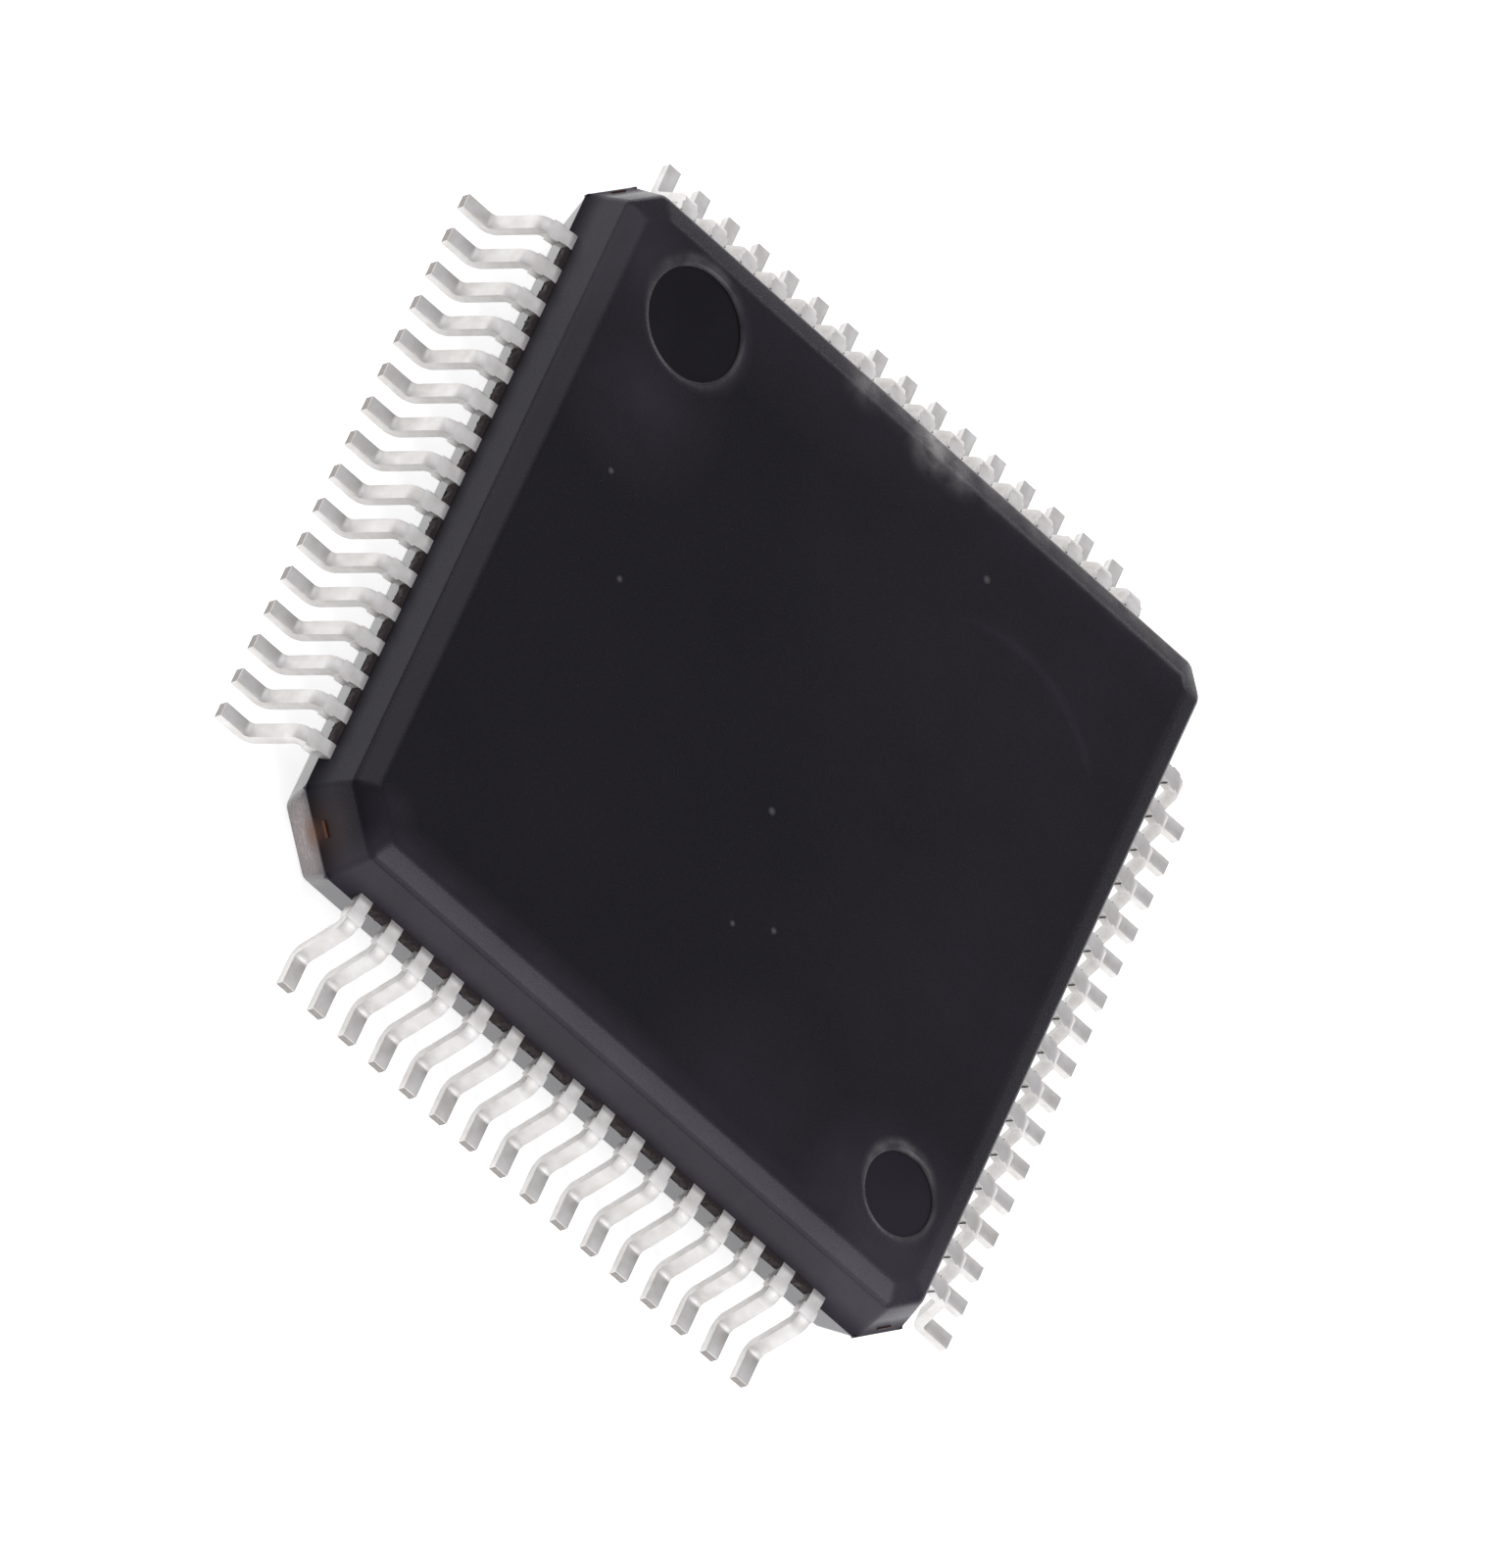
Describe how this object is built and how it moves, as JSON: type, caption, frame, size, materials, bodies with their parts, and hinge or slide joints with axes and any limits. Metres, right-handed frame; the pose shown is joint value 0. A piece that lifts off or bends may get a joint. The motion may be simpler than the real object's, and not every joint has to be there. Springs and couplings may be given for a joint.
{
  "type": "quad flat pack chip",
  "caption": "Square black moulded chip package with gull-wing leads along all four sides, for surface mounting on a circuit board.",
  "frame": {"origin": "on the board, under the middle of the package", "axes": "+Z away from the board, +X out of the side with pins 1 to 16, +Y out of the side with pins 17 to 32"},
  "size_m": [0.012, 0.012, 0.0015],
  "materials": {
    "moulding_compound": "fine matte, moulded",
    "tin_plated_copper": "satin, plated",
    "copper": "stamped sheet",
    "silver_adhesive": "cured paste",
    "silicon": "polished",
    "gold": "drawn wire"
  },
  "bodies": {
    "root": {"body": "moulding_compound", "die_pad": "copper", "die_attach": "silver_adhesive", "die": "silicon", "leads_01_04": "tin_plated_copper", "leads_05_08": "tin_plated_copper", "leads_09_12": "tin_plated_copper", "leads_13_16": "tin_plated_copper", "leads_17_20": "tin_plated_copper", "leads_21_24": "tin_plated_copper", "leads_25_28": "tin_plated_copper", "leads_29_32": "tin_plated_copper", "leads_33_36": "tin_plated_copper", "leads_37_40": "tin_plated_copper", "leads_41_44": "tin_plated_copper", "leads_45_48": "tin_plated_copper", "leads_49_52": "tin_plated_copper", "leads_53_56": "tin_plated_copper", "leads_57_60": "tin_plated_copper", "leads_61_64": "tin_plated_copper", "wires_east": "gold", "wires_north": "gold", "wires_west": "gold", "wires_south": "gold"}
  },
  "joints": []
}
